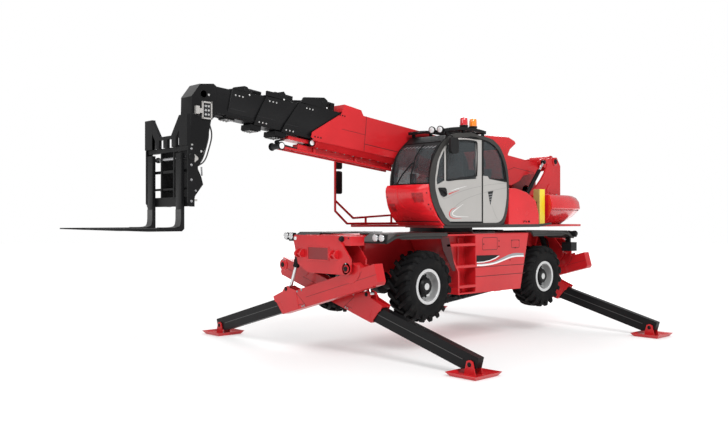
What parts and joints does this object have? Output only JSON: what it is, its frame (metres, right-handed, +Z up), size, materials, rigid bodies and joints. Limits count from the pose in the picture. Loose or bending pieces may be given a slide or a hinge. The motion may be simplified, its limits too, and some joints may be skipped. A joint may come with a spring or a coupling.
{
  "type": "rotating telehandler",
  "caption": "Rotating telescopic handler parked on four outrigger feet, with a telescopic boom, fork carriage, side cab and steered wheels.",
  "frame": {"origin": "on the floor under the middle of the machine's overall length and width", "axes": "+X forward along the boom towards the fork tips, +Y to the machine's left (cab side), +Z up"},
  "size_m": [10.945, 6.4096, 4.2112],
  "materials": {
    "red_paint": "semi-gloss",
    "black_paint": "satin",
    "graphite_paint": "satin",
    "silver_paint": "satin",
    "yellow_paint": "semi-gloss",
    "dark_steel": "matt",
    "chrome_rod": "polished",
    "tyre_rubber": "matt",
    "tinted_glass": "clear",
    "lamp_plastic": "glossy",
    "seat_trim": "matt"
  },
  "bodies": {
    "chassis": {"chassis_frame": "red_paint", "side_boxes": "red_paint", "mudguards": "graphite_paint", "slew_ring": "dark_steel", "axles": "dark_steel", "chassis_lamps": "lamp_plastic"},
    "knuckle_front_left": {"knuckle_front_left": "dark_steel"},
    "wheel_front_left": {"rim_front_left": "silver_paint", "tyre_front_left": "tyre_rubber"},
    "knuckle_front_right": {"knuckle_front_right": "dark_steel"},
    "wheel_front_right": {"rim_front_right": "silver_paint", "tyre_front_right": "tyre_rubber"},
    "knuckle_rear_left": {"knuckle_rear_left": "dark_steel"},
    "wheel_rear_left": {"rim_rear_left": "silver_paint", "tyre_rear_left": "tyre_rubber"},
    "knuckle_rear_right": {"knuckle_rear_right": "dark_steel"},
    "wheel_rear_right": {"rim_rear_right": "silver_paint", "tyre_rear_right": "tyre_rubber"},
    "outrigger_front_left": {"sleeve_front_left": "red_paint"},
    "leg_front_left": {"leg_front_left": "black_paint"},
    "foot_front_left": {"foot_front_left": "red_paint"},
    "leg_barrel_front_left": {"leg_barrel_front_left": "black_paint"},
    "leg_rod_front_left": {"leg_rod_front_left": "chrome_rod"},
    "outrigger_front_right": {"sleeve_front_right": "red_paint"},
    "leg_front_right": {"leg_front_right": "black_paint"},
    "foot_front_right": {"foot_front_right": "red_paint"},
    "leg_barrel_front_right": {"leg_barrel_front_right": "black_paint"},
    "leg_rod_front_right": {"leg_rod_front_right": "chrome_rod"},
    "outrigger_rear_left": {"sleeve_rear_left": "red_paint"},
    "leg_rear_left": {"leg_rear_left": "black_paint"},
    "foot_rear_left": {"foot_rear_left": "red_paint"},
    "leg_barrel_rear_left": {"leg_barrel_rear_left": "black_paint"},
    "leg_rod_rear_left": {"leg_rod_rear_left": "chrome_rod"},
    "outrigger_rear_right": {"sleeve_rear_right": "red_paint"},
    "leg_rear_right": {"leg_rear_right": "black_paint"},
    "foot_rear_right": {"foot_rear_right": "red_paint"},
    "leg_barrel_rear_right": {"leg_barrel_rear_right": "black_paint"},
    "leg_rod_rear_right": {"leg_rod_rear_right": "chrome_rod"},
    "turret": {"turret_frame": "red_paint", "counterweight": "red_paint", "turret_covers": "red_paint", "engine_block": "dark_steel", "cab_frame": "graphite_paint", "cab_glass": "tinted_glass", "cab_interior": "seat_trim", "cab_lamps": "lamp_plastic", "mirror_guard": "red_paint"},
    "door": {"cab_door": "silver_paint", "door_glass": "tinted_glass"},
    "boom": {"boom_base": "red_paint"},
    "boom_2": {"boom_section_2": "black_paint"},
    "boom_3": {"boom_section_3": "black_paint"},
    "boom_4": {"boom_section_4": "black_paint"},
    "boom_5": {"boom_head": "black_paint"},
    "lift_barrel": {"lift_barrel": "black_paint"},
    "lift_rod": {"lift_rod": "chrome_rod"},
    "carriage": {"carriage": "black_paint", "forks": "black_paint"}
  },
  "joints": [
    {"name": "steer_front_left", "type": "hinge", "parent": "chassis", "child": "knuckle_front_left", "pos_m": [0.0025, 0.72, 1.092], "axis": [0, 0, 1], "range_deg": [-24, 24]},
    {"name": "roll_front_left", "type": "hinge", "parent": "knuckle_front_left", "child": "wheel_front_left", "pos_m": [0.0025, 0.985, 1.092], "axis": [0, 1, 0], "continuous": true},
    {"name": "steer_front_right", "type": "hinge", "parent": "chassis", "child": "knuckle_front_right", "pos_m": [0.0025, -0.72, 1.092], "axis": [0, 0, 1], "range_deg": [-24, 24]},
    {"name": "roll_front_right", "type": "hinge", "parent": "knuckle_front_right", "child": "wheel_front_right", "pos_m": [0.0025, -0.985, 1.092], "axis": [0, 1, 0], "continuous": true},
    {"name": "steer_rear_left", "type": "hinge", "parent": "chassis", "child": "knuckle_rear_left", "pos_m": [-3.4275, 0.72, 1.092], "axis": [0, 0, 1], "range_deg": [-24, 24]},
    {"name": "roll_rear_left", "type": "hinge", "parent": "knuckle_rear_left", "child": "wheel_rear_left", "pos_m": [-3.4275, 0.985, 1.092], "axis": [0, 1, 0], "continuous": true},
    {"name": "steer_rear_right", "type": "hinge", "parent": "chassis", "child": "knuckle_rear_right", "pos_m": [-3.4275, -0.72, 1.092], "axis": [0, 0, 1], "range_deg": [-24, 24]},
    {"name": "roll_rear_right", "type": "hinge", "parent": "knuckle_rear_right", "child": "wheel_rear_right", "pos_m": [-3.4275, -0.985, 1.092], "axis": [0, 1, 0], "continuous": true},
    {"name": "raise_front_left", "type": "hinge", "parent": "chassis", "child": "outrigger_front_left", "pos_m": [0.9775, -0.808, 1.435], "axis": [-1, 0, 0], "range_deg": [-16, 0]},
    {"name": "extend_front_left", "type": "slide", "parent": "outrigger_front_left", "child": "leg_front_left", "axis": [0, 0.9636, -0.2672], "range_m": [-1.68, 0]},
    {"name": "ankle_front_left", "type": "hinge", "parent": "leg_front_left", "child": "foot_front_left", "pos_m": [0.9775, 2.92483, 0.17045], "axis": [-1, 0, 0], "range_deg": [-8, 8]},
    {"name": "ram_front_left", "type": "hinge", "parent": "chassis", "child": "leg_barrel_front_left", "pos_m": [0.9775, 0.468, 1.892], "axis": [-1, 0, 0], "range_deg": [-21.5, 0]},
    {"name": "ram_rod_front_left", "type": "slide", "parent": "leg_barrel_front_left", "child": "leg_rod_front_left", "axis": [0, 0.378, -0.9258], "range_m": [-0.372, 0]},
    {"name": "raise_front_right", "type": "hinge", "parent": "chassis", "child": "outrigger_front_right", "pos_m": [1.3175, 0.808, 1.435], "axis": [1, 0, 0], "range_deg": [-16, 0]},
    {"name": "extend_front_right", "type": "slide", "parent": "outrigger_front_right", "child": "leg_front_right", "axis": [0, -0.9636, -0.2672], "range_m": [-1.68, 0]},
    {"name": "ankle_front_right", "type": "hinge", "parent": "leg_front_right", "child": "foot_front_right", "pos_m": [1.3175, -2.92483, 0.17045], "axis": [1, 0, 0], "range_deg": [-8, 8]},
    {"name": "ram_front_right", "type": "hinge", "parent": "chassis", "child": "leg_barrel_front_right", "pos_m": [1.3175, -0.468, 1.892], "axis": [1, 0, 0], "range_deg": [-21.5, 0]},
    {"name": "ram_rod_front_right", "type": "slide", "parent": "leg_barrel_front_right", "child": "leg_rod_front_right", "axis": [0, -0.378, -0.9258], "range_m": [-0.372, 0]},
    {"name": "raise_rear_left", "type": "hinge", "parent": "chassis", "child": "outrigger_rear_left", "pos_m": [-4.4025, -0.808, 1.435], "axis": [-1, 0, 0], "range_deg": [-16, 0]},
    {"name": "extend_rear_left", "type": "slide", "parent": "outrigger_rear_left", "child": "leg_rear_left", "axis": [0, 0.9636, -0.2672], "range_m": [-1.68, 0]},
    {"name": "ankle_rear_left", "type": "hinge", "parent": "leg_rear_left", "child": "foot_rear_left", "pos_m": [-4.4025, 2.92483, 0.17045], "axis": [-1, 0, 0], "range_deg": [-8, 8]},
    {"name": "ram_rear_left", "type": "hinge", "parent": "chassis", "child": "leg_barrel_rear_left", "pos_m": [-4.4025, 0.468, 1.892], "axis": [-1, 0, 0], "range_deg": [-21.5, 0]},
    {"name": "ram_rod_rear_left", "type": "slide", "parent": "leg_barrel_rear_left", "child": "leg_rod_rear_left", "axis": [0, 0.378, -0.9258], "range_m": [-0.372, 0]},
    {"name": "raise_rear_right", "type": "hinge", "parent": "chassis", "child": "outrigger_rear_right", "pos_m": [-4.7425, 0.808, 1.435], "axis": [1, 0, 0], "range_deg": [-16, 0]},
    {"name": "extend_rear_right", "type": "slide", "parent": "outrigger_rear_right", "child": "leg_rear_right", "axis": [0, -0.9636, -0.2672], "range_m": [-1.68, 0]},
    {"name": "ankle_rear_right", "type": "hinge", "parent": "leg_rear_right", "child": "foot_rear_right", "pos_m": [-4.7425, -2.92483, 0.17045], "axis": [1, 0, 0], "range_deg": [-8, 8]},
    {"name": "ram_rear_right", "type": "hinge", "parent": "chassis", "child": "leg_barrel_rear_right", "pos_m": [-4.7425, -0.468, 1.892], "axis": [1, 0, 0], "range_deg": [-21.5, 0]},
    {"name": "ram_rod_rear_right", "type": "slide", "parent": "leg_barrel_rear_right", "child": "leg_rod_rear_right", "axis": [0, -0.378, -0.9258], "range_m": [-0.372, 0]},
    {"name": "slew", "type": "hinge", "parent": "chassis", "child": "turret", "pos_m": [-1.7125, 0, 2.06], "axis": [0, 0, 1], "continuous": true},
    {"name": "door_swing", "type": "hinge", "parent": "turret", "child": "door", "pos_m": [-1.4505, 1.205, 2.9], "axis": [0, 0, 1], "range_deg": [0, 100]},
    {"name": "boom_lift", "type": "hinge", "parent": "turret", "child": "boom", "pos_m": [-5.1325, 0, 3.485], "axis": [0, -1, 0], "range_deg": [-9, 74]},
    {"name": "telescope_2", "type": "slide", "parent": "boom", "child": "boom_2", "axis": [0.9945, 0, 0.1045], "range_m": [0, 4.6]},
    {"name": "telescope_3", "type": "slide", "parent": "boom_2", "child": "boom_3", "axis": [0.9945, 0, 0.1045], "range_m": [0, 4.6]},
    {"name": "telescope_4", "type": "slide", "parent": "boom_3", "child": "boom_4", "axis": [0.9945, 0, 0.1045], "range_m": [0, 4.6]},
    {"name": "telescope_5", "type": "slide", "parent": "boom_4", "child": "boom_5", "axis": [0.9945, 0, 0.1045], "range_m": [0, 4.6]},
    {"name": "lift_ram", "type": "hinge", "parent": "turret", "child": "lift_barrel", "pos_m": [-5.1125, 0, 2.45], "axis": [0, -1, 0], "range_deg": [-7, 56.5]},
    {"name": "lift_ram_rod", "type": "slide", "parent": "lift_barrel", "child": "lift_rod", "axis": [0.9874, 0, 0.1581], "range_m": [-0.134, 1.095]},
    {"name": "fork_tilt", "type": "hinge", "parent": "boom_5", "child": "carriage", "pos_m": [3.8625, 0, 3.077], "axis": [0, 1, 0], "range_deg": [-33, 75]}
  ],
  "couplings": [
    {"joint": "steer_front_right", "follows": "steer_front_left", "ratio": 1},
    {"joint": "steer_rear_right", "follows": "steer_rear_left", "ratio": 1},
    {"joint": "ram_front_left", "follows": "raise_front_left", "ratio": 1.3314},
    {"joint": "ram_rod_front_left", "follows": "raise_front_left", "m_per_rad": 1.322},
    {"joint": "ram_front_right", "follows": "raise_front_right", "ratio": 1.3314},
    {"joint": "ram_rod_front_right", "follows": "raise_front_right", "m_per_rad": 1.322},
    {"joint": "ram_rear_left", "follows": "raise_rear_left", "ratio": 1.3314},
    {"joint": "ram_rod_rear_left", "follows": "raise_rear_left", "m_per_rad": 1.322},
    {"joint": "ram_rear_right", "follows": "raise_rear_right", "ratio": 1.3314},
    {"joint": "ram_rod_rear_right", "follows": "raise_rear_right", "m_per_rad": 1.322},
    {"joint": "telescope_3", "follows": "telescope_2", "ratio": 1},
    {"joint": "telescope_4", "follows": "telescope_2", "ratio": 1},
    {"joint": "telescope_5", "follows": "telescope_2", "ratio": 1},
    {"joint": "lift_ram", "follows": "boom_lift", "ratio": 0.761},
    {"joint": "lift_ram_rod", "follows": "boom_lift", "m_per_rad": 0.847}
  ]
}
